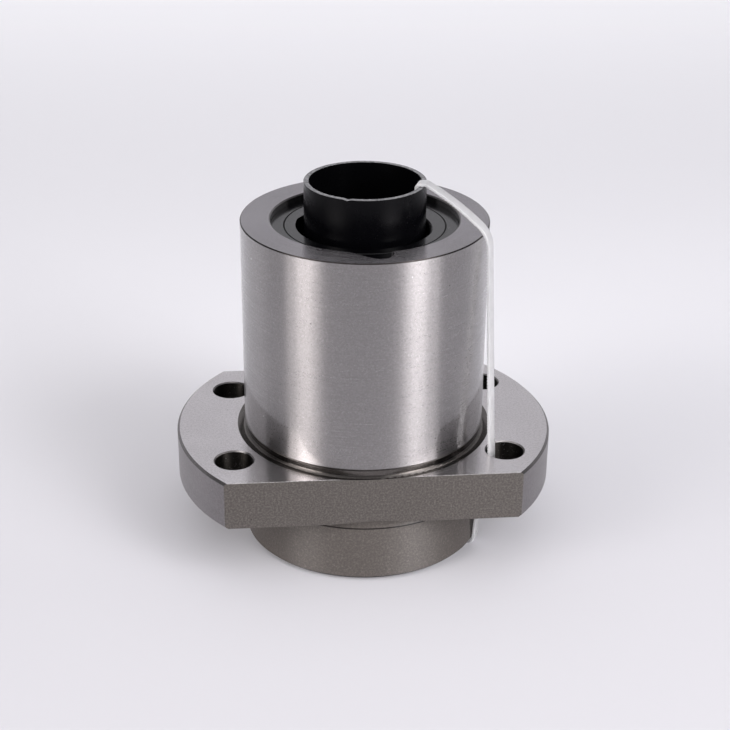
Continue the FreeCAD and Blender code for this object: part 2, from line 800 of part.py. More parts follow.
def strap_stations():
    """Radius, height and azimuth of the strap's centre line, from its head round to its head."""
    half = value("tie_thickness") / 2
    offset = half + value("tie_gap") + TIE_SLACK
    bend = value("tie_bend")
    rim = value("sleeve_top")
    run = value("tie_run")
    level = value("tie_head_level")
    hole = value("bolt_circle") / 2
    inner_rim = (value("sleeve_bore") + TIE_SLACK, rim)
    outer_rim = (value("sleeve_radius"), rim)
    shoulder = (value("body_radius"), value("body_top_edge"))
    foot_edge = (value("spigot_foot_radius"), value("spigot_foot_edge"))
    foot_offset = half + value("tie_gap") + value("spigot_chamfer")
    slope = math.degrees(math.atan2(shoulder[0] - outer_rim[0], outer_rim[1] - shoulder[1]))
    shoulder_bend = value("tie_shoulder_bend")
    touch = math.radians((slope + SHOULDER_END) / 2)
    inset = shoulder_bend - offset
    shoulder_centre = (shoulder[0] - inset * math.cos(touch), shoulder[1] - inset * math.sin(touch))

    stations = [(run, level + half, BORE_AZIMUTH), (run, rim - 2 * bend, BORE_AZIMUTH)]
    stations += round_corner(inner_rim, 180, 90, 4, offset, BORE_AZIMUTH)
    stations += round_corner(outer_rim, 90, slope, 2, offset, RIM_AZIMUTH)
    stations += round_corner(shoulder_centre, slope, SHOULDER_END, 6, shoulder_bend, SHOULDER_AZIMUTH)
    for inward, up, azimuth in FREE_POINTS_ABOVE:
        z = value("flange_high") + up * value("flange_thickness")
        stations.append((hole - inward * value("bolt_radius"), z, azimuth))
    way_in = hole - foot_edge[0] - foot_offset
    for inward, down, azimuth in FREE_POINTS_BELOW:
        z = value("flange_low") - down * value("spigot_length")
        stations.append((hole - inward * way_in, z, azimuth))
    stations += round_corner(foot_edge, 0, -90, 4, foot_offset, FOOT_AZIMUTH)
    stations.append((foot_edge[0] - bend, half, FOOT_AZIMUTH))
    stations.append((run + 2 * bend, half, BORE_AZIMUTH))
    stations += round_corner((run + bend, half + bend), -90, -180, 3, bend, BORE_AZIMUTH)
    stations.append((run, level - half, BORE_AZIMUTH))
    return stations


def strap_section(centre, along, azimuth):
    """Flat rectangle across the strap, with its wide side level where the strap lies flat."""
    angle = math.radians(azimuth)
    side = FreeCAD.Vector(-math.sin(angle), math.cos(angle), 0)
    out = side.cross(along).normalize()
    side = along.cross(out).normalize()
    a = side * (value("tie_width") / 2)
    b = out * (value("tie_thickness") / 2)
    corners = [centre - a - b, centre + a - b, centre + a + b, centre - a + b]
    return Part.makePolygon(corners + corners[:1])


def strap():
    """One flat nylon strap round the wall of the nut, with its head in the sleeve's bore."""
    stations = strap_stations()
    half = value("tie_thickness") / 2
    centres = []
    for r, z, azimuth in stations:
        angle = math.radians(azimuth)
        centres.append(FreeCAD.Vector(r * math.cos(angle), r * math.sin(angle), z))
    last = len(centres) - 1
    sections = []
    for i, centre in enumerate(centres):
        along = centres[min(i + 1, last)] - centres[max(i - 1, 0)]
        lies_flat = abs(centre.z - half) < 1e-6
        if lies_flat:
            along.z = 0
        sections.append(strap_section(centre, along, stations[i][2]))
    loop = Part.makeLoft(sections, True, True)

    depth = value("tie_head_depth")
    width = value("tie_head_width")
    height = value("tie_head_height")
    corner = FreeCAD.Vector(
        value("tie_run") + value("tie_head_lap") - depth,
        -width / 2,
        value("tie_head_level") - height / 2,
    )
    head = Part.makeBox(depth, width, height, corner)
    head.rotate(FreeCAD.Vector(0, 0, 0), FreeCAD.Vector(0, 0, 1), BORE_AZIMUTH)
    solid = doc.addObject("Part::Feature", "cable_tie")
    solid.Shape = loop.fuse(head)
    return node(solid, "cable_tie")


def check(things):
    for thing in doc.Objects:
        if any(word in thing.State for word in ("Invalid", "Error")):
            raise RuntimeError(f"{thing.Name} is {thing.State}")
    for thing in things:
        shape = thing.Shape
        if shape.isNull() or not shape.isValid() or not shape.Solids:
            raise RuntimeError(f"{thing.Label} has no valid solid")


fill_sheet()
ways = {"high": ball_way("high"), "low": ball_way("low")}
nodes = [nut_body(ways)]
for end, way in ways.items():
    nodes.append(deflector(end, way))
for end, place in (("high", "top"), ("low", "bottom")):
    nodes.append(wiper_ring(end, f"wiper_ring_{place}"))
    nodes.append(wiper(end, f"wiper_{place}"))
nodes.append(sleeve())
nodes.append(plug_screw())
nodes += balls()
nodes.append(strap())
doc.recompute()
check(nodes)

os.makedirs("parts", exist_ok=True)
for thing in nodes:
    thing.Shape.exportStep(f"parts/{thing.Label}.step")
    print(thing.Label, len(thing.Shape.Solids), "solids", round(thing.Shape.Volume, 1), "cubic mm")
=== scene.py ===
"""Looks of a flanged ball screw nut on its shipping sleeve, tied with one nylon strap."""
import json
import math
import random

import bmesh
import bpy
from mathutils import Matrix, Quaternion, Vector


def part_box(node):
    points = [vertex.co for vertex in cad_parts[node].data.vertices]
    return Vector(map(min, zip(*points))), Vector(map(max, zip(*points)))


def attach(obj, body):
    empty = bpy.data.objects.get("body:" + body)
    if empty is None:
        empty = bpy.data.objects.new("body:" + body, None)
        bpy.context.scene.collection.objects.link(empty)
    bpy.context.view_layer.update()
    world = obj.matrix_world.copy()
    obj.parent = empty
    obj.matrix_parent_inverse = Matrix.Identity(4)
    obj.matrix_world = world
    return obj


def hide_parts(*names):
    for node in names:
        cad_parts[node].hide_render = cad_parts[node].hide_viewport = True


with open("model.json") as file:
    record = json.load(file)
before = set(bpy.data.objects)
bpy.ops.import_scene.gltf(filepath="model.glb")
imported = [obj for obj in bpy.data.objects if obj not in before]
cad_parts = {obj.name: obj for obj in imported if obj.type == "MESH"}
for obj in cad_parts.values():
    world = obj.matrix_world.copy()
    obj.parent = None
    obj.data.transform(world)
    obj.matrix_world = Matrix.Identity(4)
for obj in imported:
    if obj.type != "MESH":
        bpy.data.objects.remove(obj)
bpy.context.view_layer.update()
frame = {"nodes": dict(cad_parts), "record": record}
nodes = frame["nodes"]

MM = 0.001

# places read from the frame, in metres
mounts = {mount["name"]: mount for mount in frame["record"]["mounts"]}
FLANGE_TOP = mounts["flange_seat"]["pos_m"][2]
BOLT_X = abs(mounts["bolts_left"]["pos_m"][0])
BOLT_Y = abs(mounts["bolts_rear"]["pos_m"][1])
NUT_FOOT, NUT_TOP = (corner.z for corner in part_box("nut_body"))
FLAT_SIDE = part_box("nut_body")[1].y
FLANGE_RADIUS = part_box("nut_body")[1].x
SLEEVE_FOOT, SLEEVE_TOP = (corner.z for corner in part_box("arbor_sleeve"))
SLEEVE_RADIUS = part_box("arbor_sleeve")[1].x
WIPER_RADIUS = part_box("wiper_top")[1].x

# sizes of the solids that their boxes don't show, in metres
BODY_RADIUS = 29.0 * MM
BODY_EDGE = 0.25 * MM
FOOT_EDGE = 0.6 * MM
FLANGE_THICKNESS = 12.0 * MM
FLANGE_LOW = FLANGE_TOP - FLANGE_THICKNESS
RELIEF_HEIGHT = 1.95 * MM
RELIEF_REACH = 1.85 * MM
RELIEF_SINK = 0.5 * MM
BOLT_RADIUS = 4.5 * MM
SEAL_RADIUS = 22.0 * MM
SLEEVE_WALL = 1.2 * MM
SLEEVE_EDGE = 0.2 * MM

# depths within which a point counts as part of a surface, and the width of the change beside it
WALL_DEPTH = 0.7 * MM
RIM_DEPTH = 0.3 * MM
TOP_EDGE_DEPTH = 0.5 * MM
CHANGE = 0.05 * MM

# ranges of the normal's share along an axis, from where a surface begins to where it is full
LEVEL = (0.85, 0.95)
UPRIGHT = (0.35, 0.25)
SLANT_BEGINS = (0.3, 0.4)
SLANT_ENDS = (0.93, 0.85)
FOOT_SLANT = (0.9, 0.8)
SIDEWAYS = (0.8, 0.95)
CUT_FACE = (0.75, 0.9)

# ranges of a noise, from where its mark begins to where it is full
BROAD = (0.3, 0.7)
MIDDLE = (0.35, 0.65)
CLOUDS = (0.35, 0.7)
DARK_GRAIN = (0.55, 0.40)
GRAIN_AND_SPARKLE = (0.58, 0.72)
GLINT_CLOUDS = (0.5, 0.6)
DUSTY_SMEAR = (0.45, 0.6)
RUBBED = (0.5, 0.75)

# colours of the steel by surface or mark, with a dark and a light one where they are mixed by a noise
STEEL = {
    "turned": ((0.605, 0.583, 0.589, 1), (0.648, 0.626, 0.632, 1)),
    "flat": ((0.096, 0.086, 0.080, 1), (0.152, 0.137, 0.127, 1)),
    "spigot": ((0.097, 0.086, 0.079, 1), (0.132, 0.117, 0.107, 1)),
    "ground": (0.305, 0.290, 0.289, 1),
    "end_face": (0.284, 0.271, 0.283, 1),
    "rim": (0.33, 0.312, 0.317, 1),
    "chamfer": (0.22, 0.21, 0.21, 1),
    "top_edge": (0.045, 0.040, 0.039, 1),
    # painted shade: the relief groove at the foot of the body is darkened for the shade that falls in it
    "relief": (0.125, 0.115, 0.108, 1),
    # painted shade: the walls of the bolt holes are darkened for the shade inside them
    "hole": (0.022, 0.020, 0.018, 1),
    "bore": (0.16, 0.155, 0.155, 1),
    "dark_grain": (0.10, 0.09, 0.085, 1),
    # grain and painted sparkle: pale specks that stand partly for grain and partly for sparkles of light
    "pale_grain": (0.75, 0.73, 0.72, 1),
    "shaded": (0.014, 0.012, 0.011, 1),
    # wear and a painted highlight: a pale line along the flat's top edge, where light catches it
    "worn": (0.72, 0.70, 0.69, 1),
    "pits": (0.05, 0.045, 0.04, 1),
    # painted glints: pale specks in the colour of the ground wall that stand for glints of light
    "glints": (0.85, 0.85, 0.86, 1),
}

# finish of the steel by surface, each laid over the ones before it
TURNED_ROUGHNESS = 0.17
STEEL_ROUGHNESS = {
    "ground": 0.31,
    "end_face": 0.19,
    "flat": 0.75,
    "spigot": 0.70,
    "rim": 0.36,
    "hole": 0.6,
    "slanted": 0.40,
}
ROUGHNESS_SPREAD = 0.03
FLAT_METAL = 0.4
SPIGOT_METAL = 0.22

# strength of the grain with its painted sparkle, and of the wear with its painted edge highlight, in the
# steel's colour
TURNED_DIRT_AND_SPARKLE = 0.15
END_FACE_DIRT_AND_SPARKLE = 0.08
RUGGED_DIRT = 0.24
RUGGED_SPARKLE = 0.06
WORN_HIGHLIGHT_LOW, WORN_HIGHLIGHT_HIGH = (0.25, 0.85)
PIT_DARKNESS = 0.8

# heights of the steel's marks, as shares of one grain
LINE_HEIGHT = 0.5
COARSE_HEIGHT = 1.2
STREAK_HEIGHT = 0.2
PIT_HEIGHT = -4.0
END_FACE_SHARE = 0.2


class Shader:
    """One material, with short calls for its nodes. A value may be a number, a colour or a socket."""

    def __init__(self, name):
        self.material = bpy.data.materials.new(name)
        self.material.use_nodes = True
        self.tree = self.material.node_tree
        self.bsdf = self.tree.nodes["Principled BSDF"]
        self.position = self.node("ShaderNodeTexCoord").outputs["Object"]
        self.normal = self.node("ShaderNodeNewGeometry").outputs["Normal"]
        self.x, self.y, self.z = self.split(self.position)
        self.radius = self.length(self.x, self.y)

    def node(self, kind, **settings):
        made = self.tree.nodes.new(kind)
        for name, setting in settings.items():
            setattr(made, name, setting)
        return made

    def put(self, socket, value):
        if isinstance(value, bpy.types.NodeSocket):
            self.tree.links.new(value, socket)
        else:
            socket.default_value = value

    def principled(self, **values):
        for name, value in values.items():
            self.put(self.bsdf.inputs[name.replace("_", " ")], value)

    def math(self, operation, a, b=0.0, clamp=False):
        made = self.node("ShaderNodeMath", operation=operation, use_clamp=clamp)
        self.put(made.inputs[0], a)
        self.put(made.inputs[1], b)
        return made.outputs[0]

    def product(self, first, *others):
        result = first
        for other in others:
            result = self.math("MULTIPLY", result, other)
        return result

    def total(self, first, *others):
        result = first
        for other in others:
            result = self.math("ADD", result, other)
        return result

    def invert(self, value):
        return self.math("SUBTRACT", 1.0, value)

    def length(self, a, b):
        return self.math("SQRT", self.total(self.product(a, a), self.product(b, b)))

    def step(self, value, start, end, low=0.0, high=1.0):
        """Smooth change from low to high as value goes from start to end."""
        made = self.node("ShaderNodeMapRange", interpolation_type="SMOOTHSTEP")
        for name, number in (("From Min", start), ("From Max", end), ("To Min", low), ("To Max", high)):
            self.put(made.inputs[name], number)
        self.put(made.inputs["Value"], value)
        return made.outputs["Result"]

    def mix(self, factor, a, b):
        """Colour mixed from a to b."""
        made = self.node("ShaderNodeMix", data_type="RGBA")
        self.put(made.inputs[0], factor)
        self.put(made.inputs[6], a)
        self.put(made.inputs[7], b)
        return made.outputs[2]

    def blend(self, factor, a, b):
        """Number mixed from a to b."""
        made = self.node("ShaderNodeMix", data_type="FLOAT")
        self.put(made.inputs[0], factor)
        self.put(made.inputs[2], a)
        self.put(made.inputs[3], b)
        return made.outputs[0]

    def vector(self, x, y, z):
        made = self.node("ShaderNodeCombineXYZ")
        for socket, value in zip(made.inputs, (x, y, z)):
            self.put(socket, value)
        return made.outputs[0]

    def split(self, vector):
        made = self.node("ShaderNodeSeparateXYZ")
        self.put(made.inputs[0], vector)
        return made.outputs

    def stretched(self, third, across, along):
        """Point for a texture that is drawn out, with one scale across X and Y and one along the third."""
        x, y = (self.product(value, across) for value in (self.x, self.y))
        return self.vector(x, y, self.product(third, along))

    def noise(self, vector, scale=1.0, detail=2.0, roughness=0.5):
        made = self.node("ShaderNodeTexNoise")
        self.put(made.inputs["Vector"], vector)
        self.put(made.inputs["Scale"], scale)
        self.put(made.inputs["Detail"], detail)
        self.put(made.inputs["Roughness"], roughness)
        return made.outputs["Fac"]

    def specks(self, scale, size, share):
        """Round dots, of a size in cells, in that share of the cells. They soften outside a full core."""
        core_share = 0.6
        made = self.node("ShaderNodeTexVoronoi")
        self.put(made.inputs["Vector"], self.position)
        self.put(made.inputs["Scale"], scale)
        dot = self.step(made.outputs["Distance"], size, size * core_share)
        chance = self.split(made.outputs["Color"])[0]
        return self.product(dot, self.math("LESS_THAN", chance, share))

    def bump(self, height, strength, distance):
        made = self.node("ShaderNodeBump")
        self.put(made.inputs["Strength"], strength)
        self.put(made.inputs["Distance"], distance)
        self.put(made.inputs["Height"], height)
        return made.outputs["Normal"]


def steel_surfaces(s):
    """Masks of the nut's surfaces, from where each lies and which way it faces."""
    side_x = s.math("ABSOLUTE", s.x)
    side_y = s.math("ABSOLUTE", s.y)
    facing_side, facing_end = (s.math("ABSOLUTE", part) for part in s.split(s.normal)[1:])
    level = s.step(facing_end, *LEVEL)
    upright = s.step(facing_end, *UPRIGHT)
    slanted = s.product(s.step(facing_end, *SLANT_BEGINS), s.step(facing_end, *SLANT_ENDS))

    wall_start = BODY_RADIUS - WALL_DEPTH
    rim_start = FLANGE_RADIUS - RIM_DEPTH
    relief_top = FLANGE_TOP + RELIEF_HEIGHT
    relief_floor = FLANGE_TOP - RELIEF_SINK
    relief_end = BODY_RADIUS + RELIEF_REACH
    low_relief_roof = FLANGE_LOW + RELIEF_SINK
    low_relief_line = FLANGE_LOW - RELIEF_HEIGHT
    foot_top = NUT_FOOT + FOOT_EDGE
    top_edge_start = NUT_TOP - TOP_EDGE_DEPTH

    wall = s.step(s.radius, wall_start, wall_start + 2 * CHANGE)
    inside = s.step(s.radius, relief_end, relief_end - CHANGE)
    above = s.step(s.z, relief_top - CHANGE, relief_top + CHANGE)
    below = s.step(s.z, low_relief_roof + CHANGE, low_relief_roof - CHANGE)
    flat_place = s.step(side_y, FLAT_SIDE - 2 * CHANGE, FLAT_SIDE - CHANGE)
    flat = s.product(flat_place, s.step(facing_side, *SIDEWAYS))
    spigot = s.product(wall, below, inside)
    from_line = s.math("ABSOLUTE", s.math("SUBTRACT", s.z, low_relief_line))
    line = s.product(s.step(from_line, 4 * CHANGE, 2 * CHANGE), spigot)
    foot = s.product(s.step(s.z, foot_top, foot_top - CHANGE), s.step(facing_end, *FOOT_SLANT))
    from_bolt = s.length(s.math("SUBTRACT", side_x, BOLT_X), s.math("SUBTRACT", side_y, BOLT_Y))
    rim_place = s.step(s.radius, rim_start, rim_start + 2 * CHANGE)
    return {
        "level": level,
        "slanted": slanted,
        "ground": s.product(wall, above, upright),
        "end_face": s.product(level, s.step(s.z, NUT_TOP - 2 * CHANGE, NUT_TOP - CHANGE)),
        "rim": s.product(rim_place, upright, s.invert(flat)),
        "flat": flat,
        "spigot": spigot,
        "rugged": s.math("MAXIMUM", flat, spigot),
        "chamfer": s.product(slanted, s.invert(spigot)),
        "top_edge": s.product(slanted, wall, s.step(s.z, top_edge_start, top_edge_start + CHANGE)),
        # painted shade: the relief groove, darkened for the shade that falls in it
        "relief": s.product(
            s.step(s.z, relief_floor - CHANGE, relief_floor),
            s.step(s.z, relief_top, relief_top - CHANGE),
            inside,
            wall,
        ),
        # painted shade: the walls of the bolt holes, darkened for the shade inside them
        "hole": s.product(s.step(from_bolt, BOLT_RADIUS + 3 * CHANGE, BOLT_RADIUS + CHANGE), upright),
        "bore": s.step(s.radius, SEAL_RADIUS + 2 * CHANGE, SEAL_RADIUS + CHANGE),
        "shaded": s.math("MAXIMUM", line, foot),
        # pale line along the flat's top edge, partly wear and partly a painted highlight
        "worn": s.product(flat, s.step(s.z, FLANGE_TOP - 4 * CHANGE, FLANGE_TOP - CHANGE)),
    }


def steel_marks(s, on):
    """Textures of the steel. Turning and grinding leave rings on its ends and lines round its walls."""
    lay = s.blend(on["level"], s.z, s.radius)
    return {
        "lines": s.noise(s.stretched(lay, across=40.0, along=5200.0), detail=3.0),
        "streaks": s.noise(s.stretched(lay, across=160.0, along=2200.0), detail=3.0, roughness=0.65),
        "grain": s.noise(s.position, scale=2600.0, detail=3.0, roughness=0.65),
        "coarse": s.noise(s.position, scale=2100.0, detail=3.0, roughness=0.7),
        "cloud": s.noise(s.position, scale=55.0, detail=3.0),
        "pits": s.specks(scale=420.0, size=0.085, share=0.10),
        "glints": s.specks(scale=520.0, size=0.11, share=0.10),
    }


def steel_colour(s, on, marks):
    """Colour of each surface in turn, with grain and its painted sparkle, painted shade, wear with a
    painted edge highlight, and painted glints laid over them.
    """
    colour = s.mix(s.step(marks["cloud"], *CLOUDS), *STEEL["turned"])
    for surface in ("ground", "end_face", "rim"):
        colour = s.mix(on[surface], colour, STEEL[surface])
    grainy = s.step(marks["coarse"], *MIDDLE)
    for surface in ("flat", "spigot"):
        colour = s.mix(on[surface], colour, s.mix(grainy, *STEEL[surface]))
    for surface in ("chamfer", "top_edge", "relief", "hole", "bore"):
        colour = s.mix(on[surface], colour, STEEL[surface])

    dirt_and_sparkle = s.blend(on["rugged"], s.blend(on["end_face"], TURNED_DIRT_AND_SPARKLE, END_FACE_DIRT_AND_SPARKLE), RUGGED_DIRT)
    sparkle = s.blend(on["rugged"], dirt_and_sparkle, RUGGED_SPARKLE)
    wear_and_highlight = s.step(marks["grain"], *MIDDLE, WORN_HIGHLIGHT_LOW, WORN_HIGHLIGHT_HIGH)
    glinting = s.step(marks["cloud"], *GLINT_CLOUDS)
    layers = {
        "dark_grain": s.product(s.step(marks["coarse"], *DARK_GRAIN), dirt_and_sparkle),
        # pale specks: grain with painted sparkle
        "pale_grain": s.product(s.step(marks["coarse"], *GRAIN_AND_SPARKLE), sparkle),
        "shaded": on["shaded"],
        "worn": s.product(on["worn"], wear_and_highlight),
        "pits": s.product(marks["pits"], PIT_DARKNESS),
        # painted glints on the ground wall
        "glints": s.product(marks["glints"], on["ground"], glinting),
    }
    for layer, amount in layers.items():
        colour = s.mix(amount, colour, STEEL[layer])
    return colour


def steel_roughness(s, on, marks):
    """Roughness of each surface in turn, a little uneven with the lines and the grain."""
    rough = TURNED_ROUGHNESS
    for surface, value in STEEL_ROUGHNESS.items():
        rough = s.blend(on[surface], rough, value)
    rough = s.math("ADD", rough, s.step(marks["lines"], *BROAD, -ROUGHNESS_SPREAD, ROUGHNESS_SPREAD))
    uneven = s.step(marks["grain"], *BROAD, -ROUGHNESS_SPREAD, ROUGHNESS_SPREAD)
    return s.math("ADD", rough, uneven, clamp=True)


def steel_height(s, on, marks):
    """Height of the marks for the bump. The upper end face is the smoothest."""
    height = s.total(
        s.product(marks["lines"], LINE_HEIGHT),
        marks["grain"],
        s.product(marks["coarse"], on["rugged"], COARSE_HEIGHT),
        s.product(marks["streaks"], on["ground"], STREAK_HEIGHT),
        s.product(marks["pits"], PIT_HEIGHT),
    )
    return s.product(height, s.blend(on["end_face"], 1.0, END_FACE_SHARE))


def steel():
    """Ground and turned steel: the finish of each surface of the nut follows from where it lies."""
    s = Shader("ground_steel")
    on = steel_surfaces(s)
    marks = steel_marks(s, on)
    round_axis = s.node("ShaderNodeTangent", direction_type="RADIAL", axis="Z")
    s.principled(
        Base_Color=steel_colour(s, on, marks),
        Roughness=steel_roughness(s, on, marks),
        Metallic=s.blend(on["spigot"], s.blend(on["flat"], 1.0, FLAT_METAL), SPIGOT_METAL),
        Coat_Weight=s.product(on["ground"], 0.75),
        Coat_Roughness=0.07,
        Coat_IOR=1.7,
        Anisotropic=1.0,
        Anisotropic_Rotation=0.25,
        Tangent=round_axis.outputs[0],
        Normal=s.bump(steel_height(s, on, marks), strength=0.35, distance=0.004 * MM),
    )
    return s.material


def black_plastic():
    """Extruded tube of black plastic, a little smeared, with a rough pale cut at its rim."""
    s = Shader("sleeve_plastic")
    inner_tone = (0.0012, 0.0012, 0.0016, 1)
    outer_tone = (0.0014, 0.0014, 0.0020, 1)
    dust_tone = (0.35, 0.34, 0.33, 1)
    saw_dark = (0.10, 0.10, 0.105, 1)
    saw_pale = (0.27, 0.27, 0.28, 1)
    dust_strength = 0.35
    clean_roughness = 0.20
    smeared_roughness = 0.34
    sawn_roughness = 0.7
    drawn_height = 0.6
    cut = s.step(s.split(s.normal)[2], *CUT_FACE)
    outside = s.step(s.radius, SLEEVE_RADIUS - SLEEVE_WALL / 2, SLEEVE_RADIUS - SLEEVE_WALL / 3)
    smear = s.noise(s.position, scale=110.0, detail=4.0, roughness=0.6)
    fine = s.noise(s.position, scale=2600.0)
    drawn = s.noise(s.stretched(s.z, across=1500.0, along=30.0))
    dust = s.specks(scale=230.0, size=0.06, share=0.16)
    saw = s.noise(s.position, scale=1500.0, detail=3.0, roughness=0.7)
    dusty = s.product(dust, outside, s.step(smear, *DUSTY_SMEAR), dust_strength)
    colour = s.mix(outside, inner_tone, outer_tone)
    colour = s.mix(dusty, colour, dust_tone)
    colour = s.mix(cut, colour, s.mix(s.step(saw, *BROAD), saw_dark, saw_pale))
    skin_roughness = s.step(smear, *BROAD, clean_roughness, smeared_roughness)
    s.principled(
        Base_Color=colour,
        Roughness=s.blend(cut, skin_roughness, sawn_roughness),
        Specular_IOR_Level=0.09,
        Normal=s.bump(s.total(s.product(drawn, drawn_height), fine), strength=0.3, distance=0.012 * MM),
    )
    return s.material


def moulded(name, colour, rough, gloss, dusty, joint=0.0):
    """Smooth moulded plastic with a little dust. It is dull at the radius of a joint, if it has one."""
    s = Shader(name)
    darker = tuple(0.8 * part for part in colour) + (1,)
    lighter = tuple(1.2 * part for part in colour) + (1,)
    dust_tone = (0.2, 0.2, 0.2, 1)
    dust_strength = 0.5
    rough_spread = 0.04
    joint_roughness = 0.95
    joint_reach = (0.22 * MM, 0.15 * MM)
    skin = s.noise(s.position, scale=1800.0, detail=3.0)
    patch = s.noise(s.position, scale=160.0)
    dust = s.specks(scale=260.0, size=0.06, share=dusty)
    tone = s.mix(s.step(patch, *BROAD), darker, lighter)
    from_joint = s.math("ABSOLUTE", s.math("SUBTRACT", s.radius, joint))
    smooth = s.step(skin, *BROAD, rough - rough_spread, rough + rough_spread)
    s.principled(
        Base_Color=s.mix(s.product(dust, dust_strength), tone, dust_tone),
        Roughness=s.blend(s.step(from_joint, *joint_reach), smooth, joint_roughness),
        Specular_IOR_Level=gloss,
        Normal=s.bump(skin, strength=0.1, distance=0.006 * MM),
    )
    return s.material


def nylon():
    """Natural nylon, milky and a little clear."""
    s = Shader("tie_nylon")
    dark = (0.60, 0.60, 0.624, 1)
    light = (0.675, 0.675, 0.70, 1)
    glow_reach = 8.0 * MM
    cloud = s.noise(s.position, scale=240.0, detail=3.0)
    fine = s.noise(s.position, scale=2400.0)
    s.principled(
        Base_Color=s.mix(s.step(cloud, *BROAD), dark, light),
        Roughness=s.step(fine, *BROAD, low=0.34, high=0.46),
        Subsurface_Weight=1.0,
        Subsurface_Radius=(glow_reach, glow_reach, glow_reach),
        Subsurface_Scale=1.0,
        Transmission_Weight=0.12,
        IOR=1.53,
        Normal=s.bump(fine, strength=0.2, distance=0.01 * MM),
    )
    return s.material


def bright_steel():
    """Polished bearing balls with a thin film of oil."""
    s = Shader("ball_steel")
    oily = (0.70, 0.69, 0.68, 1)
    clean = (0.78, 0.78, 0.79, 1)
    film = s.noise(s.position, scale=600.0, detail=3.0)
    s.principled(
        Base_Color=s.mix(s.step(film, *BROAD), oily, clean),
        Metallic=1.0,
        Roughness=s.step(film, *CLOUDS, low=0.05, high=0.16),
    )
    return s.material


def black_steel():
    """Blackened screw steel, rubbed a little lighter in places."""
    s = Shader("plug_steel")
    black = (0.035, 0.034, 0.036, 1)
    rubbed = (0.13, 0.125, 0.12, 1)
    finish_range = (0.3, 0.8)
    rub = s.noise(s.position, scale=900.0, detail=4.0)
    s.principled(
        Base_Color=s.mix(s.step(rub, *RUBBED), black, rubbed),
        Metallic=0.9,
        Roughness=s.step(rub, *finish_range, low=0.5, high=0.32),
        Normal=s.bump(rub, strength=0.3, distance=0.02 * MM),
    )
    return s.material


def pale_floor():
    """Pale matt board. It is a little brighter than its light makes it, and more so far from the nut."""
    s = Shader("pale_board")
    near_dark = (0.494, 0.488, 0.514, 1)
    near_light = (0.507, 0.501, 0.526, 1)
    back = (0.645, 0.641, 0.669, 1)
    glow_tone = (0.97, 0.96, 1.0, 1)
    near_glow = 0.10
    far_glow = 0.47
    back_range = (-0.03, 0.12)
    far_range = (0.2, 0.7)
    cloud = s.noise(s.position, scale=4.0)
    near = s.mix(s.step(cloud, *BROAD), near_dark, near_light)
    path = s.node("ShaderNodeLightPath").outputs
    seen = s.math("MAXIMUM", path["Is Camera Ray"], path["Is Glossy Ray"])
    seen = s.math("MAXIMUM", seen, path["Is Transmission Ray"])
    glow = s.blend(s.step(s.y, *far_range), near_glow, far_glow)
    s.principled(
        Base_Color=s.mix(s.step(s.y, *back_range), near, back),
        Roughness=0.85,
        Emission_Color=glow_tone,
        Emission_Strength=s.product(seen, glow),
    )
    return s.material


def dress(material, *names):
    for name in names:
        slots = nodes[name].data.materials
        slots.clear()
        slots.append(material)


def make_piece(name, vertices, faces, body, material, replaced, sharp_angle):
    """Mesh object that stands in for a node of the frame, smooth apart from its sharp edges."""
    mesh = bpy.data.meshes.new(name)
    mesh.from_pydata(vertices, [], faces)
    mesh.validate()
    mesh.polygons.foreach_set("use_smooth", [True] * len(mesh.polygons))
    mesh.materials.append(material)
    piece = bpy.data.objects.new(name, mesh)
    bpy.context.scene.collection.objects.link(piece)
    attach(piece, body)
    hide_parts(replaced)
    mesh.set_sharp_from_angle(angle=math.radians(sharp_angle))


def sleeve_rim(angles):
    """Heights of the sleeve's upper rim, a little uneven and with one nick. It turns clear of the strap."""
    seeded = random.Random(7)
    rise = 0.17 * MM
    nick_side = math.radians(-112.0)
    nick_width = math.radians(2.2)
    nick_depth = 0.22 * MM
    wave_depth = 0.04 * MM
    wave_counts = (3, 5, 8, 13, 21, 34, 55)
    waves = [(k, seeded.uniform(0, 2 * math.pi), seeded.uniform(0.3, 1.0)) for k in wave_counts]
    whole = sum(size for k, turn, size in waves)
    heights = []
    for angle in angles:
        uneven = sum(size * (1 + math.cos(k * angle + turn)) for k, turn, size in waves) / (2 * whole)
        off = (angle - nick_side + math.pi) % (2 * math.pi) - math.pi
        nick = nick_depth * math.exp(-((off / nick_width) ** 2))
        heights.append(SLEEVE_TOP + rise - wave_depth * uneven - nick)
    return heights


def make_sleeve(material):
    """Tube with chamfered edges, finer at its upper rim."""
    count = 240
    collar = 4.0 * MM
    inner = SLEEVE_RADIUS - SLEEVE_WALL
    chamfer = SLEEVE_EDGE / 3
    angles = [2 * math.pi * i / count for i in range(count)]
    vertices = []
    for angle, top in zip(angles, sleeve_rim(angles)):
        profile = [
            (inner, SLEEVE_FOOT + SLEEVE_EDGE),
            (inner + SLEEVE_EDGE, SLEEVE_FOOT),
            (SLEEVE_RADIUS - SLEEVE_EDGE, SLEEVE_FOOT),
            (SLEEVE_RADIUS, SLEEVE_FOOT + SLEEVE_EDGE),
            (SLEEVE_RADIUS, top - collar),
            (SLEEVE_RADIUS, top - chamfer),
            (SLEEVE_RADIUS - chamfer, top),
            (inner + chamfer, top),
            (inner, top - chamfer),
            (inner, top - collar),
        ]
        vertices += [(r * math.cos(angle), r * math.sin(angle), z) for r, z in profile]
    rows = len(profile)
    faces = []
    for i in range(count):
        here = i * rows
        there = (i + 1) % count * rows
        for j in range(rows):
            k = (j + 1) % rows
            faces.append((here + j, there + j, there + k, here + k))
    make_piece(
        "arbor_sleeve_tube",
        vertices,
        faces,
        body="sleeve",
        material=material,
        replaced="arbor_sleeve",
        sharp_angle=30,
    )


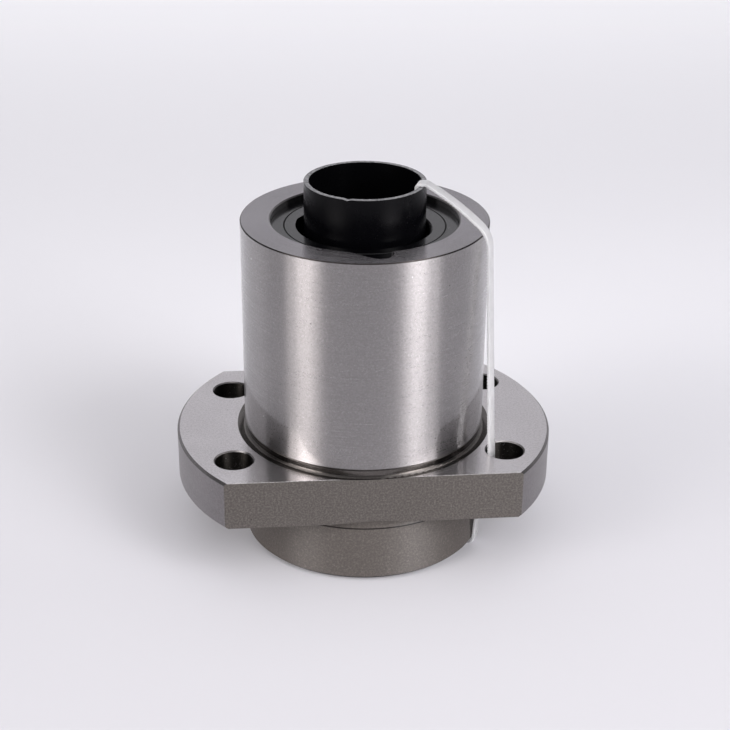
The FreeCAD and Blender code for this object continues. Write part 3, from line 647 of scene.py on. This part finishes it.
# strap and its route, in millimetres and degrees, close to the route of the solid one
TIE_WIDTH = 3.2
TIE_THICKNESS = 0.75
TIE_GAP = 0.23
TIE_OFFSET = TIE_THICKNESS / 2 + TIE_GAP
TIE_BEND = 1.2
TIE_RUN = 12.337
RIM_INSET = 1.16
SHOULDER_BEND = 7.0
SHOULDER_END = 4.0
BOW = 0.25
FOOT_OFFSET = 1.125
HEAD_LEVEL = 36.0
BORE_AZIMUTH = -18.0
INNER_RIM_AZIMUTH = -20.5
RIM_AZIMUTH = -19.0
SHOULDER_AZIMUTH = -26.5
FOOT_AZIMUTH = -25.5

# radius, height and azimuth of the strap's middle where it hangs free, down to the foot
FREE_POINTS = [
    (33.5, 34.6, -31.5),
    (34.3, 28.6, -33.0),
    (34.3, 16.6, -32.4),
    (32.590, 12.675, -30.8),
    (30.422, 8.279, -28.0),
]


def round_corner(corner, start, end, steps, offset, azimuth):
    """Stations about a corner in the R-Z plane, from one angle to another."""
    stations = []
    for i in range(steps + 1):
        angle = math.radians(start + (end - start) * i / steps)
        r = corner[0] + offset * math.cos(angle)
        z = corner[1] + offset * math.sin(angle)
        stations.append((r, z, azimuth))
    return stations


def bowed(start, end, slope, steps):
    """Stations between two others, bowed outward, square to a slope in degrees."""
    a = math.radians(slope)
    stations = []
    for i in range(1, steps):
        share = i / steps
        r, z, azimuth = (first + (last - first) * share for first, last in zip(start, end))
        out = 4 * BOW * share * (1 - share)
        stations.append((r + out * math.cos(a), z + out * math.sin(a), azimuth))
    return stations


def strap_stations():
    """Radius, height and azimuth of the strap's middle, from its head round to its head."""
    half = TIE_THICKNESS / 2
    rim = SLEEVE_TOP / MM
    inner_rim = (SLEEVE_RADIUS / MM - RIM_INSET, rim)
    outer_rim = (SLEEVE_RADIUS / MM, rim)
    shoulder = (BODY_RADIUS / MM, (NUT_TOP - BODY_EDGE) / MM)
    foot_edge = ((BODY_RADIUS - FOOT_EDGE) / MM, (NUT_FOOT + FOOT_EDGE) / MM)
    low_corner = (TIE_RUN + TIE_BEND, half + TIE_BEND)

    # slope is square to a straight run from rim to shoulder, and the bow turns each end of it by lean
    out = shoulder[0] - outer_rim[0]
    down = outer_rim[1] - shoulder[1]
    slope = math.degrees(math.atan2(out, down))
    lean = math.degrees(math.atan(4 * BOW / math.hypot(out, down)))
    touch = math.radians((slope - lean + SHOULDER_END) / 2)
    inset = SHOULDER_BEND - TIE_OFFSET
    centre = (shoulder[0] - inset * math.cos(touch), shoulder[1] - inset * math.sin(touch))
    shoulder_arc = round_corner(
        centre,
        slope - lean,
        SHOULDER_END,
        steps=12,
        offset=SHOULDER_BEND,
        azimuth=SHOULDER_AZIMUTH,
    )

    stations = [(TIE_RUN, HEAD_LEVEL + half, BORE_AZIMUTH)]
    stations.append((TIE_RUN, rim - 2 * TIE_BEND, INNER_RIM_AZIMUTH))
    stations += round_corner(inner_rim, 180, 90, steps=8, offset=TIE_OFFSET, azimuth=INNER_RIM_AZIMUTH)
    stations += round_corner(outer_rim, 90, slope + lean, steps=4, offset=TIE_OFFSET, azimuth=RIM_AZIMUTH)
    stations += bowed(stations[-1], shoulder_arc[0], slope, steps=10)
    stations += shoulder_arc
    stations += FREE_POINTS
    stations += round_corner(foot_edge, 0, -90, steps=8, offset=FOOT_OFFSET, azimuth=FOOT_AZIMUTH)
    stations.append((foot_edge[0] - TIE_BEND, half, FOOT_AZIMUTH))
    stations.append((TIE_RUN + 2 * TIE_BEND, half, BORE_AZIMUTH))
    stations += round_corner(low_corner, -90, -180, steps=6, offset=TIE_BEND, azimuth=BORE_AZIMUTH)
    stations.append((TIE_RUN, HEAD_LEVEL - half, BORE_AZIMUTH))
    return stations


def strap_line(step):
    """Points of the strap's middle with their azimuth, close together, with its free bends softened."""
    points = []
    for r, z, azimuth in strap_stations():
        a = math.radians(azimuth)
        points.append((Vector((r * math.cos(a), r * math.sin(a), z)), azimuth))
    line = []
    for (start, turn), (end, next_turn) in zip(points, points[1:]):
        count = max(1, round((end - start).length / step))
        for i in range(count):
            line.append((start.lerp(end, i / count), turn + (next_turn - turn) * i / count))
    line.append(points[-1])
    places = [place for place, azimuth in line]
    turns = [azimuth for place, azimuth in line]

    free_low = 3.0
    free_high = 76.0
    free_radius = TIE_RUN + 2.0
    passes = 90
    passes_for_all = 4
    for done in range(passes):
        softer = list(places)
        for i in range(1, len(places) - 1):
            hangs_free = free_low < places[i].z < free_high and places[i].xy.length > free_radius
            if hangs_free or done < passes_for_all:
                softer[i] = (places[i - 1] + places[i] * 2 + places[i + 1]) / 4
        places = softer
    return places, turns


def make_strap(material):
    """Flat nylon strap with fine teeth on the face toward the nut, and its head in the tube's bore."""
    pitch = 0.75
    samples = 4
    tooth = 0.17
    soft = 0.12
    places, turns = strap_line(pitch / samples)
    w = TIE_WIDTH / 2
    h = TIE_THICKNESS / 2
    vertices = []
    last = len(places) - 1
    for i, place in enumerate(places):
        along = (places[min(i + 1, last)] - places[max(i - 1, 0)]).normalized()
        a = math.radians(turns[i])
        side = Vector((-math.sin(a), math.cos(a), 0))
        inward = side.cross(along).normalized()
        side = along.cross(inward).normalized()
        deep = h - tooth * (i % samples) / (samples - 1)
        section = [
            (-w, soft - h),
            (soft - w, -h),
            (w - soft, -h),
            (w, soft - h),
            (w, deep - soft),
            (w - soft, deep),
            (soft - w, deep),
            (-w, deep - soft),
        ]
        vertices += [(place + side * p + inward * q) * MM for p, q in section]
    rows = len(section)
    faces = [tuple(range(rows)), tuple(reversed(range(last * rows, last * rows + rows)))]
    for i in range(last):
        here = i * rows
        there = here + rows
        for j in range(rows):
            k = (j + 1) % rows
            faces.append((here + j, here + k, there + k, there + j))
    head_vertices, head_faces = strap_head()
    shift = len(vertices)
    vertices += head_vertices
    faces += [tuple(shift + v for v in face) for face in head_faces]
    make_piece(
        "cable_tie_strap",
        vertices,
        faces,
        body="nut",
        material=material,
        replaced="cable_tie",
        sharp_angle=40,
    )


def strap_head():
    """Head with soft edges and a shallow window in its upper face, where the tongue sits."""
    depth = 3.4
    width = 4.4
    height = 5.0
    soft = 0.45
    window_frame = 0.7
    window_depth = 1.2
    past_strap = 0.1
    mesh = bmesh.new()
    bmesh.ops.create_cube(mesh, size=1.0)
    bmesh.ops.scale(mesh, vec=(depth, width, height), verts=mesh.verts)
    corners = mesh.edges[:] + mesh.verts[:]
    bmesh.ops.bevel(mesh, geom=corners, offset=soft, segments=3, profile=0.5, affect="EDGES")
    top = max(mesh.faces, key=lambda face: face.calc_center_median().z)
    bmesh.ops.inset_region(mesh, faces=[top], thickness=window_frame)
    sunk = bmesh.ops.extrude_face_region(mesh, geom=[top])
    moved = [item for item in sunk["geom"] if isinstance(item, bmesh.types.BMVert)]
    bmesh.ops.translate(mesh, vec=(0, 0, -window_depth), verts=moved)
    bmesh.ops.delete(mesh, geom=[top], context="FACES")
    a = math.radians(BORE_AZIMUTH)
    middle = TIE_RUN + past_strap - depth / 2
    place = Matrix.Translation((middle * math.cos(a), middle * math.sin(a), HEAD_LEVEL))
    place = place @ Matrix.Rotation(a, 4, "Z")
    mesh.verts.index_update()
    vertices = [(place @ vertex.co) * MM for vertex in mesh.verts]
    faces = [tuple(vertex.index for vertex in face.verts) for face in mesh.faces]
    mesh.free()
    return vertices, faces


def make_camera():
    """Camera at the photograph's viewing angle. Its lens is worked out for a square image."""
    eye = Vector((-32.82, -344.57, 209.12)) * MM
    target = Vector((0.304, -0.043, 43.29)) * MM
    sensor = 36.0
    image_pixels = 730.0
    focal_pixels = 1584.5
    roll = math.radians(0.476)
    data = bpy.data.cameras.new("camera")
    data.sensor_width = sensor
    data.lens = sensor * focal_pixels / image_pixels
    data.clip_start = 0.01
    data.clip_end = 50.0
    camera = bpy.data.objects.new("camera", data)
    camera.location = eye
    camera.rotation_mode = "QUATERNION"
    aim = (target - eye).to_track_quat("-Z", "Y")
    camera.rotation_quaternion = aim @ Quaternion((0, 0, 1), roll)
    bpy.context.scene.collection.objects.link(camera)
    bpy.context.scene.camera = camera


def make_floor(material):
    """Wide floor with a wall far behind. It leans with the strap that lies under one edge of the foot."""
    strap_azimuth = math.radians(-25.0)
    strap_reach = BODY_RADIUS
    far_reach = BODY_RADIUS - FOOT_EDGE
    lean = math.atan(NUT_FOOT / (strap_reach + far_reach))
    contact = Vector((math.cos(strap_azimuth), math.sin(strap_azimuth), 0)) * strap_reach
    axis = Vector((-math.sin(strap_azimuth), math.cos(strap_azimuth), 0))
    half_width = 6.0
    front = -6.0
    back = 1.1
    bend = 0.5
    wall = 2.2
    steps = 16
    profile = [(front, 0.0), (back, 0.0)]
    for i in range(1, steps + 1):
        angle = math.pi / 2 * i / steps
        profile.append((back + bend * math.sin(angle), bend * (1 - math.cos(angle))))
    profile.append((back + bend, wall))
    vertices = []
    for along, up in profile:
        vertices += [(-half_width, along, up), (half_width, along, up)]
    faces = [(2 * i, 2 * i + 1, 2 * i + 3, 2 * i + 2) for i in range(len(profile) - 1)]
    mesh = bpy.data.meshes.new("floor")
    mesh.from_pydata(vertices, [], faces)
    mesh.polygons.foreach_set("use_smooth", [True] * len(faces))
    mesh.materials.append(material)
    floor = bpy.data.objects.new("floor", mesh)
    tilt = Matrix.Rotation(lean, 4, axis)
    floor.matrix_world = Matrix.Translation(contact) @ tilt @ Matrix.Translation(-contact)
    bpy.context.scene.collection.objects.link(floor)


def make_lamp(name, azimuth, elevation, distance, size, power, colour):
    """Soft rectangular lamp that faces the nut. Azimuth 0 is the -Y side, and 90 is the +X side."""
    aim = Vector((0, 0, 45 * MM))
    data = bpy.data.lights.new(name, "AREA")
    data.shape = "RECTANGLE"
    data.size, data.size_y = size
    data.energy = power
    data.color = colour
    lamp = bpy.data.objects.new(name, data)
    a = math.radians(azimuth)
    e = math.radians(elevation)
    away = Vector((math.sin(a) * math.cos(e), -math.cos(a) * math.cos(e), math.sin(e)))
    lamp.location = aim + away * distance
    lamp.rotation_mode = "QUATERNION"
    lamp.rotation_quaternion = (-away).to_track_quat("-Z", "Y")
    lamp.visible_camera = False
    bpy.context.scene.collection.objects.link(lamp)


def make_lamps():
    """Two upright soft boxes with a brighter core each, one box overhead and a weak one behind."""
    warm = (1.0, 0.965, 0.955)
    clear = (1.0, 0.985, 1.0)
    cool = (0.98, 0.97, 1.0)
    make_lamp("left_box", -60.5, 18, distance=0.9, size=(0.54, 0.68), power=4.2, colour=warm)
    make_lamp("left_core", -59, 18, distance=0.88, size=(0.24, 0.68), power=2.3, colour=warm)
    make_lamp("right_box", 46.5, 25, distance=0.9, size=(0.58, 0.9), power=6.4, colour=clear)
    make_lamp("right_core", 43.5, 25, distance=0.88, size=(0.24, 0.9), power=3.7, colour=clear)
    make_lamp("top_box", 0, 85, distance=1.0, size=(1.2, 1.0), power=6.6, colour=cool)
    make_lamp("back_box", 178, 58, distance=1.1, size=(1.4, 0.6), power=1.2, colour=cool)


def make_world():
    """Dim grey room."""
    world = bpy.data.worlds.new("room")
    world.use_nodes = True
    background = world.node_tree.nodes["Background"]
    background.inputs["Color"].default_value = (0.80, 0.80, 0.84, 1)
    background.inputs["Strength"].default_value = 0.1
    bpy.context.scene.world = world


dress(steel(), "nut_body")
deflector_skin = moulded(
    "deflector_plastic",
    colour=(0.001, 0.001, 0.0013),
    rough=0.10,
    gloss=0.10,
    dusty=0.08,
)
dress(deflector_skin, "end_deflector_top", "end_deflector_bottom")
wiper_skin = moulded(
    "wiper_plastic",
    colour=(0.001, 0.001, 0.0014),
    rough=0.18,
    gloss=0.49,
    dusty=0.05,
    joint=WIPER_RADIUS,
)
dress(wiper_skin, "wiper_ring_top", "wiper_ring_bottom", "wiper_top", "wiper_bottom")
dress(bright_steel(), "loaded_balls", "return_balls")
dress(black_steel(), "grease_plug")
make_sleeve(black_plastic())
make_strap(nylon())

make_camera()
make_floor(pale_floor())
make_world()
make_lamps()
bpy.context.scene.view_settings.view_transform = "Standard"
